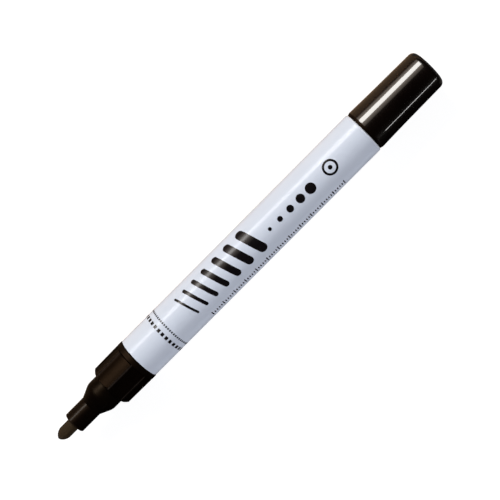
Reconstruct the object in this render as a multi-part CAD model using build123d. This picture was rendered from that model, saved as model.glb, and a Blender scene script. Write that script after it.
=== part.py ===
from build123d import *
import os
from math import cos, hypot, pi, sin, sqrt, tan

# Paint marker with a spring-loaded valve nib, its cap pushed on the tail end.
# The marker lies along X, nib towards -X, cap towards +X, on the plane Z = 0.
# All sizes are in millimetres.

# Fits shared by several pieces
fit_gap = 0.03          # radial room in a pressed joint
touch_gap = 0.02        # axial room between pieces that meet end to end
slide_gap = 0.1         # radial room round a piece that slides
cut_overrun = 1.0       # how far a cutting tool reaches past the face it opens

# Nib: a rod of bonded fibre with a bullet end
nib_diameter = 4.5
nib_length = 28.0
nib_exposed = 7.4       # length in front of the nose
nib_taper = 3.4         # length of the bullet end
nib_tip_radius = 0.85
nib_rear_bevel = 0.4
nib_travel = 1.8        # how far a press on the nib moves it and the valve

# Front section: nose, cone, cap seat, eight-sided collar and spigot in one moulding
nose_diameter = 7.8
nose_length = 8.1
nose_edge_bevel = 0.35
cone_length = 4.3        # up to the corner that the blend rounds
cone_blend_radius = 4.5
seat_length = 4.5
collar_length = 13.7
collar_sides = 8
collar_rim_length = 2.0  # round rim between the flats and the barrel
collar_rim_proud = 0.16  # rim above the barrel's surface
collar_rim_bevel = 0.25
collar_taper = 0.13     # radius lost from the rim to the front of the flats
flats_inset = 0.03      # corners of the flats below the rim
flats_edge_radius = 0.35
flats_front_bevel = 0.9  # turned on the flats' front end
guide_length = 10.0     # close bore that guides the nib
chamber_depth = 0.85    # radial paint space round the nib behind the guide
chamber_rib_count = 4
chamber_rib_width = 0.9
spigot_length = 8.0
spigot_wall = 1.95
spigot_bevel = 0.3

# Barrel seal: an elastomer ring in a groove of the spigot
barrel_seal_section = 1.3
barrel_seal_bevel = 0.35
barrel_seal_offset = 3.0  # from the collar's rear face to the middle of the ring

# Barrel: a drawn aluminium can with a necked tail
barrel_diameter = 15.6
barrel_length = 104.0
barrel_wall = 0.5
barrel_mouth_bevel = 0.12
barrel_shoulder_radius = 0.8
barrel_end_wall = 0.9
tail_neck_wall = 0.6
tail_neck_bevel = 0.5

# Tail plug: a moulded stub on the can's neck, which takes the cap
tail_plug_length = 8.0
tail_plug_wall = 1.5
tail_plug_end_wall = 1.6
tail_plug_bevel = 0.8
tail_plug_groove_depth = 0.25
tail_plug_groove_width = 1.2
tail_plug_groove_offset = 4.6  # from the barrel's end to the middle of the groove

# Valve: case, seal, stem, spring and retainer, behind the nib
pin_stop_gap = 0.6      # room left between the nib and the case, nib pressed in
pin_diameter = 2.2
paint_gap = 0.5         # radial passage round the pin
case_wall = 0.8
case_front_wall = 1.2
case_flange_thickness = 1.0
case_flange_inset = 0.6  # flange below the spigot's surface
seal_overlap = 1.2      # seal wider than the passage that it shuts
seal_thickness = 1.0
stem_flange_lip = 0.2   # stem flange wider than the seal
stem_flange_thickness = 1.2
stem_rod_diameter = 3.0
stem_rod_overrun = 0.5  # rod behind the retainer, at rest
spring_wire = 0.5
spring_wire_sides = 6
spring_inset = 0.1      # spring inside the flange's edge
spring_turns = 6
spring_samples = 600    # points on which the spring's gap to itself is measured
retainer_thickness = 1.8
retainer_inset = 0.5    # retainer in front of the case's rear end
retainer_notch_count = 4
retainer_notch_width_share = 0.45  # of the disc's radius
retainer_notch_depth_share = 0.42  # of the land between the disc's hole and its edge

# Mixing ball: loose in the barrel, stirs the paint when the marker is shaken
ball_diameter = 6.0
ball_gap = 0.1

# Cap: a shell and the pressed-in inner cap that keeps the nib from drying
cap_fit_gap = 0.06      # radial room between the inner cap and what it grips
cap_mouth_gap = 0.05    # room between the cap's mouth and the barrel's end
cap_wall = 1.11
cap_end_wall = 1.5
cap_flare_length = 10.0
cap_flare_drop = 0.24   # radius lost over the flared mouth
cap_draft_drop = 0.24   # radius lost from the flare to the closed end
cap_mouth_inset = 0.06  # cap's mouth below the barrel's surface
cap_lip_bevel = 0.6
cap_corner_radius = 1.9
cap_inner_bevel = 0.8
cap_bore_step = 0.3     # radius lost behind the inner cap's shoulder
inner_cap_wall = 0.7
inner_cap_bevel = 0.6
inner_cap_recess = 0.6  # inner cap behind the shell's mouth
inner_cap_lead = 0.3    # chamfer at the inner cap's mouth
inner_cap_end_wall = 1.0
inner_cap_tail_room = 2.0   # space past the tail plug's end
inner_cap_nose_gap = 0.25   # radial room round the nose
inner_cap_shoulder_length = 1.5
nib_room = 2.5          # space past the nib's tip, cap closed on the front
seal_lip_height = 0.2   # bead that shuts on the nose
seal_lip_length = 1.2

# Radii that follow from the sizes above
nib_radius = nib_diameter / 2
nose_radius = nose_diameter / 2
barrel_radius = barrel_diameter / 2
barrel_bore_radius = barrel_radius - barrel_wall
cap_mouth_radius = barrel_radius - cap_mouth_inset
cap_bore_radius = cap_mouth_radius - cap_wall
inner_cap_radius = cap_bore_radius - fit_gap
inner_cap_bore_radius = inner_cap_radius - inner_cap_wall
seat_radius = inner_cap_bore_radius - cap_fit_gap  # gripped by the cap at either end of the marker
rim_radius = barrel_radius + collar_rim_proud
flats_rear_radius = rim_radius - flats_inset
flats_front_radius = flats_rear_radius - collar_taper
guide_radius = nib_radius + slide_gap
chamber_radius = guide_radius + chamber_depth
spigot_radius = barrel_bore_radius - fit_gap
pocket_radius = spigot_radius - spigot_wall
groove_floor_radius = barrel_bore_radius - barrel_seal_section - 2 * fit_gap
case_radius = pocket_radius - fit_gap
case_bore_radius = case_radius - case_wall
pin_radius = pin_diameter / 2
passage_radius = pin_radius + paint_gap
seal_radius = passage_radius + seal_overlap
stem_flange_radius = seal_radius + stem_flange_lip
stem_rod_radius = stem_rod_diameter / 2
spring_radius = stem_flange_radius - spring_inset - spring_wire / 2
retainer_radius = case_bore_radius - fit_gap
ball_radius = ball_diameter / 2
tail_neck_radius = seat_radius - tail_plug_wall - fit_gap
cap_flare_radius = cap_mouth_radius - cap_flare_drop
cap_end_radius = cap_flare_radius - cap_draft_drop
nose_pocket_radius = nose_radius + inner_cap_nose_gap

# Lengths that follow from the sizes above
pin_reach = nib_travel + pin_stop_gap  # how far the stem stands out of the case towards the nib
front_length = nib_exposed + nose_length + cone_length + seat_length
cap_length = front_length + nib_room + inner_cap_end_wall + touch_gap + cap_end_wall
overall_length = front_length + collar_length + barrel_length + cap_mouth_gap + cap_length

# Stations along X, from the nib's tip to the closed end of the cap
nib_tip_x = -overall_length / 2
nose_front_x = nib_tip_x + nib_exposed
cone_front_x = nose_front_x + nose_length
seat_front_x = cone_front_x + cone_length
collar_front_x = seat_front_x + seat_length
collar_rear_x = collar_front_x + collar_length
rim_front_x = collar_rear_x - collar_rim_length
spigot_rear_x = collar_rear_x + spigot_length
barrel_rear_x = collar_rear_x + barrel_length
cap_mouth_x = barrel_rear_x + cap_mouth_gap
cap_end_x = cap_mouth_x + cap_length
guide_rear_x = nose_front_x + guide_length
nib_rear_x = nib_tip_x + nib_length
case_front_x = nib_rear_x + touch_gap + pin_reach
case_rear_x = spigot_rear_x + touch_gap + case_flange_thickness
seal_front_x = case_front_x + case_front_wall + touch_gap
stem_flange_front_x = seal_front_x + seal_thickness
stem_flange_rear_x = stem_flange_front_x + stem_flange_thickness
retainer_rear_x = case_rear_x - retainer_inset
retainer_front_x = retainer_rear_x - retainer_thickness
ball_rest_x = case_rear_x + ball_gap + ball_radius
ball_end_x = barrel_rear_x - barrel_end_wall - ball_gap - ball_radius
tail_plug_end_x = barrel_rear_x + touch_gap + tail_plug_length
tail_neck_end_x = tail_plug_end_x - tail_plug_end_wall - touch_gap
inner_cap_mouth_x = cap_mouth_x + inner_cap_recess
inner_cap_end_x = cap_end_x - cap_end_wall - touch_gap
inner_cap_bore_end_x = tail_plug_end_x + inner_cap_tail_room
nose_pocket_x = inner_cap_bore_end_x + inner_cap_shoulder_length
axis_height = rim_radius


def outline(corners):
    """A face in the XY plane through (x, radius) corners, some of them eased by a named arc or bevel."""
    runs = []
    for index, corner in enumerate(corners):
        here = Vector(*corner[:2])
        if len(corner) == 2:
            runs.append((here, None, here))
            continue
        form, size = corner[2:]
        to_last = (Vector(*corners[index - 1][:2]) - here).normalized()
        to_next = (Vector(*corners[(index + 1) % len(corners)][:2]) - here).normalized()
        if form == "bevel":
            runs.append((here + to_last * size, None, here + to_next * size))
            continue
        half = to_last.get_angle(to_next) * pi / 360
        inward = (to_last + to_next).normalized()
        middle = here + inward * (size / sin(half) - size)
        runs.append((here + to_last * (size / tan(half)), middle, here + to_next * (size / tan(half))))
    edges = []
    for index, (start, middle, end) in enumerate(runs):
        if middle is not None:
            edges.append(ThreePointArc(start, middle, end))
        elif start != end:
            edges.append(Line(start, end))
        edges.append(Line(end, runs[(index + 1) % len(runs)][0]))
    return make_face(edges)


def turned(corners):
    """A solid turned about the marker's axis from the corners of half its outline."""
    return revolve(outline(corners), Axis.X)


def section(x):
    """The plane across the marker at x, with its first direction along Y."""
    return Plane(origin=(x, 0, 0), x_dir=(0, 1, 0), z_dir=(1, 0, 0))


def rod(start_x, end_x, radius):
    """A plain round rod on the marker's axis."""
    return extrude(section(start_x) * Circle(radius), end_x - start_x)


def make_nib():
    """Fibre rod whose bullet end is a tip arc and a flank arc, tangent to each other and to the rod."""
    tip_centre = nib_tip_radius
    reach = nib_taper - tip_centre
    flank_radius = (reach**2 + nib_radius**2 - nib_tip_radius**2) / (2 * (nib_radius - nib_tip_radius))
    rise = flank_radius - nib_radius
    spread = hypot(reach, rise)
    join_x = tip_centre - nib_tip_radius * reach / spread
    join_y = nib_tip_radius * rise / spread
    shoulder = (nib_tip_x + nib_taper, nib_radius)
    join = (nib_tip_x + join_x, join_y)
    tip_arc = RadiusArc((nib_tip_x, 0), join, nib_tip_radius)
    flank_arc = RadiusArc(join, shoulder, flank_radius)
    rest = Polyline(
        shoulder,
        (nib_rear_x - nib_rear_bevel, nib_radius),
        (nib_rear_x, nib_radius - nib_rear_bevel),
        (nib_rear_x, 0),
        (nib_tip_x, 0),
    )
    return revolve(make_face([tip_arc, flank_arc, rest]), Axis.X)


def collar_flats():
    """Eight-sided taper of the collar with soft long edges and a bevel turned on its front end."""
    front = section(collar_front_x) * RegularPolygon(flats_front_radius, collar_sides)
    rear = section(rim_front_x) * RegularPolygon(flats_rear_radius, collar_sides)
    flats = loft([front, rear], ruled=True)
    long_edges = [edge for edge in flats.edges() if edge.bounding_box().size.X > collar_taper]
    flats = fillet(long_edges, flats_edge_radius)
    bevel_start = flats_front_radius - flats_front_bevel
    bevel = turned(
        [
            (collar_front_x, 0),
            (collar_front_x, bevel_start),
            (rim_front_x, bevel_start + rim_front_x - collar_front_x),
            (rim_front_x, 0),
        ]
    )
    return flats & bevel


def make_front_section():
    """Nose, cone, seat, eight-sided collar, rim and spigot, bored for the nib and the valve."""
    nose = turned(
        [
            (nose_front_x, 0),
            (nose_front_x, nose_radius, "bevel", nose_edge_bevel),
            (cone_front_x, nose_radius),
            (seat_front_x, seat_radius, "arc", cone_blend_radius),
            (collar_front_x + flats_front_bevel, seat_radius),
            (collar_front_x + flats_front_bevel, 0),
        ]
    )
    rim = turned(
        [
            (rim_front_x, 0),
            (rim_front_x, rim_radius),
            (collar_rear_x, rim_radius, "bevel", collar_rim_bevel),
            (collar_rear_x, spigot_radius),
            (spigot_rear_x, spigot_radius, "bevel", spigot_bevel),
            (spigot_rear_x, 0),
        ]
    )
    body = nose + collar_flats() + rim
    guide = rod(nose_front_x - cut_overrun, guide_rear_x + cut_overrun, guide_radius)
    chamber = rod(guide_rear_x, case_front_x + cut_overrun, chamber_radius)
    pocket = rod(case_front_x - touch_gap, spigot_rear_x + cut_overrun, pocket_radius)
    groove_half = barrel_seal_section / 2 + fit_gap
    groove_x = collar_rear_x + barrel_seal_offset
    groove = turned(
        [
            (groove_x - groove_half, groove_floor_radius),
            (groove_x + groove_half, groove_floor_radius),
            (groove_x + groove_half, barrel_radius),
            (groove_x - groove_half, barrel_radius),
        ]
    )
    body -= [guide, chamber, pocket, groove]
    rib_length = case_front_x - touch_gap - pin_reach - guide_rear_x
    rib_reach = chamber_radius + chamber_depth / 2
    rib = section(guide_rear_x) * Pos(rib_reach / 2, 0) * Rectangle(rib_reach, chamber_rib_width)
    ribs = [
        Rot(360 * index / chamber_rib_count, 0, 0) * extrude(rib, rib_length)
        for index in range(chamber_rib_count)
    ]
    nib_way = rod(guide_rear_x - cut_overrun, case_front_x, guide_radius)
    return body + [each - nib_way for each in ribs]


def make_barrel_seal():
    """Elastomer ring that seals the spigot in the barrel."""
    inner_radius = groove_floor_radius + fit_gap
    outer_radius = inner_radius + barrel_seal_section
    front_x = collar_rear_x + barrel_seal_offset - barrel_seal_section / 2
    rear_x = front_x + barrel_seal_section
    return turned(
        [
            (front_x, inner_radius, "bevel", barrel_seal_bevel),
            (front_x, outer_radius, "bevel", barrel_seal_bevel),
            (rear_x, outer_radius, "bevel", barrel_seal_bevel),
            (rear_x, inner_radius, "bevel", barrel_seal_bevel),
        ]
    )


def make_barrel():
    """Drawn can: thin wall, rounded shoulder, closed neck at the tail."""
    neck_bore_radius = tail_neck_radius - tail_neck_wall
    return turned(
        [
            (collar_rear_x + touch_gap, barrel_bore_radius),
            (collar_rear_x + touch_gap, barrel_radius, "bevel", barrel_mouth_bevel),
            (barrel_rear_x, barrel_radius, "arc", barrel_shoulder_radius),
            (barrel_rear_x, tail_neck_radius),
            (tail_neck_end_x, tail_neck_radius, "bevel", tail_neck_bevel),
            (tail_neck_end_x, 0),
            (tail_neck_end_x - tail_neck_wall, 0),
            (tail_neck_end_x - tail_neck_wall, neck_bore_radius),
            (barrel_rear_x - barrel_end_wall, neck_bore_radius),
            (barrel_rear_x - barrel_end_wall, barrel_bore_radius, "bevel", barrel_wall),
        ]
    )


def make_tail_plug():
    """Stub pressed on the can's neck, with a shallow groove for the cap to grip."""
    groove_x = barrel_rear_x + tail_plug_groove_offset
    groove_half = tail_plug_groove_width / 2
    groove_radius = seat_radius - tail_plug_groove_depth
    bore_radius = tail_neck_radius + fit_gap
    bore_end_x = tail_neck_end_x + touch_gap
    return turned(
        [
            (barrel_rear_x + touch_gap, bore_radius),
            (barrel_rear_x + touch_gap, seat_radius),
            (groove_x - groove_half, seat_radius),
            (groove_x - groove_half + tail_plug_groove_depth, groove_radius),
            (groove_x + groove_half - tail_plug_groove_depth, groove_radius),
            (groove_x + groove_half, seat_radius),
            (tail_plug_end_x, seat_radius, "bevel", tail_plug_bevel),
            (tail_plug_end_x, 0),
            (bore_end_x, 0),
            (bore_end_x, bore_radius),
        ]
    )


def make_valve_case():
    """Cup pressed in the front section, its front wall pierced for the stem and the paint."""
    flange_radius = spigot_radius - case_flange_inset
    return turned(
        [
            (case_front_x, passage_radius),
            (case_front_x, case_radius),
            (spigot_rear_x + touch_gap, case_radius),
            (spigot_rear_x + touch_gap, flange_radius),
            (case_rear_x, flange_radius),
            (case_rear_x, case_bore_radius),
            (case_front_x + case_front_wall, case_bore_radius),
            (case_front_x + case_front_wall, passage_radius),
        ]
    )


def make_valve_seal():
    """Soft washer on the stem that shuts the passage round the pin."""
    washer = Circle(seal_radius) - Circle(pin_radius + fit_gap)
    return extrude(section(seal_front_x) * washer, seal_thickness)


def make_valve_stem():
    """Pin, flange and guide rod in one piece: the nib pushes the pin."""
    pin = rod(nib_rear_x + touch_gap, stem_flange_front_x + stem_flange_thickness / 2, pin_radius)
    flange = rod(stem_flange_front_x + touch_gap, stem_flange_rear_x, stem_flange_radius)
    guide = rod(stem_flange_rear_x, retainer_rear_x + stem_rod_overrun, stem_rod_radius)
    return pin + flange + guide


def spring_path(start_x, end_x):
    """Helix of the spring as pairs of tangent arcs, one pair for each half turn."""
    rise = (end_x - start_x) / (2 * pi * spring_turns)
    slope = hypot(spring_radius, rise)
    stops = []
    for index in range(2 * spring_turns + 1):
        turn = pi * index
        point = Vector(start_x + rise * turn, spring_radius * cos(turn), spring_radius * sin(turn))
        ahead = Vector(rise, -spring_radius * sin(turn), spring_radius * cos(turn)) / slope
        stops.append((point, ahead))
    arcs = []
    for (start, leave), (end, arrive) in zip(stops, stops[1:]):
        chord = end - start
        both = leave + arrive
        spread = 2 * (1 - leave.dot(arrive))
        along = chord.dot(both)
        reach = (sqrt(along**2 + spread * chord.dot(chord)) - along) / spread
        first_corner = start + leave * reach
        second_corner = end - arrive * reach
        join = (first_corner + second_corner) / 2
        arcs.append(TangentArc(start, join, tangent=leave))
        arcs.append(TangentArc(join, end, tangent=second_corner - first_corner))
    return Wire(arcs)


def make_valve_spring():
    """Compression spring between the stem's flange and the retainer, as one unbroken wire."""
    start_x = stem_flange_rear_x + touch_gap + spring_wire / 2
    end_x = retainer_front_x - touch_gap - spring_wire / 2
    path = spring_path(start_x, end_x)
    points = [path.position_at(index / spring_samples) for index in range(spring_samples + 1)]
    half_turn = spring_samples // (2 * spring_turns)
    gap = min(
        (point - other).length - spring_wire
        for index, point in enumerate(points)
        for other in points[index + half_turn :]
    )
    start = Plane(origin=path.position_at(0), z_dir=path.tangent_at(0))
    wire_section = RegularPolygon(spring_wire / 2, spring_wire_sides)
    wire = sweep(start * wire_section, path)
    tube_volume = wire_section.area * path.length
    print("spring: least gap to itself", round(gap, 3))
    print("spring: volume over section times length", round(wire.volume / tube_volume, 4))
    return wire


def make_spring_retainer():
    """Disc in the case that backs the spring, guides the stem and lets the paint past its notches."""
    hole_radius = stem_rod_radius + slide_gap
    notch_depth = (retainer_radius - hole_radius) * retainer_notch_depth_share
    notch_length = notch_depth + cut_overrun
    notch_width = retainer_radius * retainer_notch_width_share
    notch_middle = retainer_radius - notch_depth + notch_length / 2
    disc = Circle(retainer_radius) - Circle(hole_radius)
    notch = Pos(notch_middle, 0) * Rectangle(notch_length, notch_width)
    for index in range(retainer_notch_count):
        disc -= Rot(0, 0, 360 * index / retainer_notch_count) * notch
    return extrude(section(retainer_front_x) * disc, retainer_thickness)


def make_mixing_ball():
    """Steel ball that lies on the barrel's inner wall, behind the valve."""
    drop = barrel_bore_radius - ball_gap - ball_radius
    return Pos(ball_rest_x, 0, -drop) * Sphere(ball_radius)


def make_inner_cap():
    """Stepped sleeve with a closed end and a bead that shuts on the nose when the cap is on the front."""
    pocket_outer_radius = nose_pocket_radius + inner_cap_wall
    lip_radius = nose_pocket_radius - seal_lip_height
    lip_start_x = nose_pocket_x + seal_lip_length
    lip_end_x = lip_start_x + seal_lip_length
    return turned(
        [
            (inner_cap_mouth_x, inner_cap_bore_radius + inner_cap_lead),
            (inner_cap_mouth_x, inner_cap_radius),
            (inner_cap_bore_end_x, inner_cap_radius),
            (nose_pocket_x, pocket_outer_radius),
            (inner_cap_end_x, pocket_outer_radius, "bevel", inner_cap_bevel),
            (inner_cap_end_x, 0),
            (inner_cap_end_x - inner_cap_end_wall, 0),
            (inner_cap_end_x - inner_cap_end_wall, nose_pocket_radius),
            (lip_end_x, nose_pocket_radius),
            ((lip_start_x + lip_end_x) / 2, lip_radius),
            (lip_start_x, nose_pocket_radius),
            (nose_pocket_x, nose_pocket_radius),
            (inner_cap_bore_end_x, inner_cap_bore_radius),
            (inner_cap_mouth_x + inner_cap_lead, inner_cap_bore_radius),
        ]
    )


def make_cap_shell():
    """Outer cap: flared mouth, drafted wall, flat end with a rounded corner."""
    bore_end_x = cap_end_x - cap_end_wall
    end_bore_radius = cap_bore_radius - cap_bore_step
    return turned(
        [
            (cap_mouth_x, cap_bore_radius),
            (cap_mouth_x, cap_mouth_radius, "bevel", cap_lip_bevel),
            (cap_mouth_x + cap_flare_length, cap_flare_radius),
            (cap_end_x, cap_end_radius, "arc", cap_corner_radius),
            (cap_end_x, 0),
            (bore_end_x, 0),
            (bore_end_x, end_bore_radius, "bevel", cap_inner_bevel),
            (nose_pocket_x, end_bore_radius),
            (nose_pocket_x, cap_bore_radius),
        ]
    )


def main():
    pieces = {
        "nib": make_nib(),
        "front_section": make_front_section(),
        "barrel_seal": make_barrel_seal(),
        "barrel": make_barrel(),
        "tail_plug": make_tail_plug(),
        "valve_case": make_valve_case(),
        "valve_seal": make_valve_seal(),
        "valve_stem": make_valve_stem(),
        "valve_spring": make_valve_spring(),
        "spring_retainer": make_spring_retainer(),
        "mixing_ball": make_mixing_ball(),
        "inner_cap": make_inner_cap(),
        "cap_shell": make_cap_shell(),
    }
    os.makedirs("parts", exist_ok=True)
    for name, piece in pieces.items():
        export_step(Pos(0, 0, axis_height) * piece, f"parts/{name}.step")
    print("overall length", round(overall_length, 3), "cap length", round(cap_length, 3))
    print("axis height", round(axis_height, 3), "ball travel", round(ball_end_x - ball_rest_x, 3))
    print("collar front", round(collar_front_x, 3))
    print("barrel from", round(collar_rear_x, 3), "to", round(barrel_rear_x, 3))
    print("cap from", round(cap_mouth_x, 3), "to", round(cap_end_x, 3))
    print("tail plug end", round(tail_plug_end_x, 3), "inner cap end", round(inner_cap_end_x, 3))
    print("spring fixed end", round(retainer_front_x, 3))


main()
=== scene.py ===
# %% [markdown]
# # A paint marker
#
# The real object is a lacquered metal can. A dark moulded front section with an eight-sided collar is
# pressed in one end and holds a fibre nib. A gloss cap is pushed on the other end. The construction, the
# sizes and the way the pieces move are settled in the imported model, so this lesson starts by loading it
# and never moves or resizes it. What follows gives each piece its form up close, its finish and its light.

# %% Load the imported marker
from math import atan2, ceil, cos, hypot, pi, radians, sin, tan

import bmesh
import bpy
import numpy as np
from mathutils import Matrix, Vector


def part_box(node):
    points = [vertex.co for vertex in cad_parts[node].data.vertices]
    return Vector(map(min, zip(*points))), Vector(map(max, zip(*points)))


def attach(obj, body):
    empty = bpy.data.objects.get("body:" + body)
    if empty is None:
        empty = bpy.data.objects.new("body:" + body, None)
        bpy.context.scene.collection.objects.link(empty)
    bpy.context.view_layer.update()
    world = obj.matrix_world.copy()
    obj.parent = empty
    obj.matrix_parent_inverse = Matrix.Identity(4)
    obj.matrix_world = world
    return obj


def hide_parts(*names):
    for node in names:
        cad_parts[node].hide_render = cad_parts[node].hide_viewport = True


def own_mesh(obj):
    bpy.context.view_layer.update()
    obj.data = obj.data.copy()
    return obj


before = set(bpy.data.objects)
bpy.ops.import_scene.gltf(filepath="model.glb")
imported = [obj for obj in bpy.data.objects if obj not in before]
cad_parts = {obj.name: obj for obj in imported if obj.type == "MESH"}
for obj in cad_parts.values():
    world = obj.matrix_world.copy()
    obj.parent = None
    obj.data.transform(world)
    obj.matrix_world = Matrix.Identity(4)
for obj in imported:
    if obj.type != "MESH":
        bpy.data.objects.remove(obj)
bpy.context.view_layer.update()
scene = bpy.context.scene
print("pieces:", ", ".join(sorted(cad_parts)))

# %% [markdown]
# ## Stations along the axis
#
# A pen is easiest to describe as a row of stations along its axis, each with a radius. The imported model
# already knows the main ones, so they are read from the boxes of its pieces. They could be typed in again,
# but then a change of the model would leave the looks behind.

# %% Read the stations, in millimetres
MM = 0.001


def span(node):
    """Front end, rear end and radius of a piece, in millimetres."""
    low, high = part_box(node)
    return low.x / MM, high.x / MM, min(high.y, -low.y) / MM


nib_tip, nib_rear, nib_radius = span("nib")
nose_front, spigot_rear, rim_radius = span("front_section")
barrel_front, neck_end, barrel_radius = span("barrel")
tail_front, tail_end, seat_radius = span("tail_plug")
inner_mouth, inner_end, inner_radius = span("inner_cap")
cap_mouth, cap_end, _ = span("cap_shell")
case_front, _, _ = span("valve_case")
seal_front, seal_rear, _ = span("barrel_seal")
spring_front, spring_rear, spring_radius = span("valve_spring")
barrel_low, barrel_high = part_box("barrel")
axis_height = (barrel_low.z + barrel_high.z) / 2
print("axis height", round(axis_height / MM, 2), "mm; barrel radius", round(barrel_radius, 2), "mm")

# %% [markdown]
# ## Outlines with eased corners
#
# No moulded or drawn piece has a knife edge: every corner is a small arc, and that arc is what catches the
# light. An outline here is a short list of corners, each with the radius that eases it. A Bevel modifier
# could do the same later, but arcs worked out in the outline stay exactly tangent, which a gloss finish
# needs. Each point also says whether it lies on an edge that a finish polishes and paints lighter, partly as
# wear and partly as a painted highlight.

# %% Corners and arcs
arc_steps = 8
hold_distance = 0.35  # extra rings beside an arc keep its shading and its wear narrow
hold_room = 3 * hold_distance  # a gap longer than this gets such rings
largest_worn_highlit_arc = 0.5


def corner(x, radius, ease=0.0, facet=0.0, lean=0.0):
    """A corner of an outline: its place, the arc that eases it, how eight-sided it is and its lean."""
    return Vector((x, radius)), ease, facet, lean


def arc(centre, radius, start, end, steps=arc_steps):
    """Points on an arc, with angles in radians."""
    turns = np.linspace(start, end, steps + 1)
    return [centre + radius * Vector((cos(turn), sin(turn))) for turn in turns]


def eased_corner(last, here, after, ease):
    """The arc that eases one corner, and 1 if it is an edge that wears and takes a painted highlight or 0 if
    it is hollow or broad.
    """
    to_last = (last - here).normalized()
    to_next = (after - here).normalized()
    half = to_last.angle(to_next) / 2
    centre = here + (to_last + to_next).normalized() * (ease / sin(half))
    first = here + to_last * (ease / tan(half)) - centre
    stands_out = to_next.cross(to_last) < 0
    turn = (pi - 2 * half) * (-1 if stands_out else 1)
    start = atan2(first.y, first.x)
    return arc(centre, ease, start, start + turn), float(stands_out and ease < largest_worn_highlit_arc)


def eased(corners, closed=False):
    """Rows of (x, radius, facet, edge, lean) along an outline, drawn over the outside to the tail."""
    places = [row[0] for row in corners]
    runs = []
    for index, (here, ease, facet, lean) in enumerate(corners):
        points, edge = [here], 0.0
        if ease:
            after = places[(index + 1) % len(places)]
            points, edge = eased_corner(places[index - 1], here, after, ease)
        runs.append((points, facet, edge, lean))
    rows = []
    for index, (points, facet, edge, lean) in enumerate(runs):
        rows += [(*point, facet, edge, lean) for point in points]
        next_points, next_facet, _, _ = runs[(index + 1) % len(runs)]
        gap = next_points[0] - points[-1]
        last = index == len(runs) - 1
        if gap.length > hold_room and (closed or not last):
            step = gap.normalized() * hold_distance
            rows.append((*(points[-1] + step), facet, 0.0, 0.0))
            rows.append((*(next_points[0] - step), next_facet, 0.0, 0.0))
    if closed:
        rows.append(rows[0])
    return rows


square = [Vector(place) for place in ((0, 0), (0, 1), (1, 1))]
print("an eased square corner takes", len(eased_corner(*square, largest_worn_highlit_arc)[0]), "points")

# %% [markdown]
# ## Sections round the axis
#
# Most pieces are round, and the collar has eight flats. Both are one turn of directions round the axis, so
# a piece can change from one to the other along its length. The eight-sided turn has many points on its
# corner arcs, which a plain circle would waste. A thick moulding sinks a little as it cools, so the flats are
# slightly hollow, and light fades across them instead of filling them evenly.

# %% Round and eight-sided turns
round_steps = 160
flat_steps, corner_steps = 24, 8
collar_sides = 8
wear_highlight_sharpness = 4  # keeps the wear and the painted edge highlight to the middle of a corner's arc


def linked(name, data):
    """A new object at the origin, linked to the scene."""
    made = bpy.data.objects.new(name, data)
    scene.collection.objects.link(made)
    return made


def new_mesh_object(name, places, faces=()):
    """A mesh object at the origin, from its points and faces."""
    mesh = bpy.data.meshes.new(name)
    mesh.from_pydata([tuple(place) for place in places], [], list(faces))
    return linked(name, mesh)


def store(made, name, values):
    """Keeps a number, or a vector, for each point of a mesh."""
    values = np.array(values, np.float32)
    kind, key = ("FLOAT", "value") if values.ndim == 1 else ("FLOAT_VECTOR", "vector")
    made.data.attributes.new(name, kind, "POINT").data.foreach_set(key, values.ravel())


def turn_of(name, flats, corners):
    """A helper object whose points are directions: round ones, with the eight-sided place beside each."""
    flats = np.array([*flats, flats[0]], float)
    rounds = flats / np.linalg.norm(flats, axis=1)[:, None]
    made = new_mesh_object(name, np.c_[rounds, np.zeros(len(rounds))])
    store(made, "flat", np.c_[flats, np.zeros(len(flats))])
    store(made, "corner", [*corners, corners[0]])
    return made


def round_turn():
    """Even directions for the plain turned pieces."""
    turns = np.arange(round_steps) * 2 * pi / round_steps
    return turn_of("round_turn", np.c_[np.cos(turns), np.sin(turns)], np.zeros(round_steps))


def collar_turn(ease, hollow):
    """An eight-sided turn inside a circle of radius 1, its corners eased and its flats slightly hollow."""
    half_side = pi / collar_sides
    flat_distance = cos(half_side) + ease * (1 - cos(half_side))
    inner_distance = flat_distance - ease
    reach = inner_distance * tan(half_side)
    places, corners = [], []
    for side in range(collar_sides):
        facing = (2 * side + 1) * half_side
        normal = Vector((cos(facing), sin(facing)))
        along = normal.orthogonal()
        for share in np.linspace(-1, 1, flat_steps + 1):
            sunk = hollow * (1 - share**2)
            places.append(normal * (flat_distance - sunk) + along * (reach * share))
        corners += [0.0] * (flat_steps + 1)
        edge_way = facing + half_side
        middle = Vector((cos(edge_way), sin(edge_way))) * (inner_distance / cos(half_side))
        places += arc(middle, ease, facing, facing + 2 * half_side, corner_steps)[1:-1]
        corners += [sin(pi * k / corner_steps) ** wear_highlight_sharpness for k in range(1, corner_steps)]
    return turn_of("collar_turn", places, corners)


rim_step, flats_edge, flats_hollow = 0.03, 1.4, 0.17
flats_radius = rim_radius - rim_step
round_section = round_turn()
collar_section = collar_turn(flats_edge / flats_radius, flats_hollow / flats_radius)
print("points round the axis:", len(round_section.data.vertices), len(collar_section.data.vertices))

# %% [markdown]
# ## Building node trees from a script
#
# Node trees are usually drawn by hand. In a script each node takes three or four lines, so a few helpers
# keep the trees short enough to read: one adds a node and fills or links its inputs, and the others make
# the sums that come up again and again. Every geometry tree ends in the same way, with its instances made
# real and its finish set, and is then run once and kept as a plain mesh.

# %% Node helpers


def join(tree, value, socket):
    """Links a socket to another one, or sets its plain value."""
    if isinstance(value, bpy.types.NodeSocket):
        tree.links.new(value, socket)
    else:
        socket.default_value = value


def add(tree, kind, inputs=None, **settings):
    """Adds a node with its settings, then links or sets the named inputs."""
    node = tree.nodes.new(kind)
    for name, value in settings.items():
        setattr(node, name, value)
    for name, value in (inputs or {}).items():
        join(tree, value, node.inputs[name])
    return node


def maths(tree, operation, *values):
    """One sum on numbers."""
    return add(tree, "ShaderNodeMath", dict(enumerate(values)), operation=operation).outputs[0]


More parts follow.
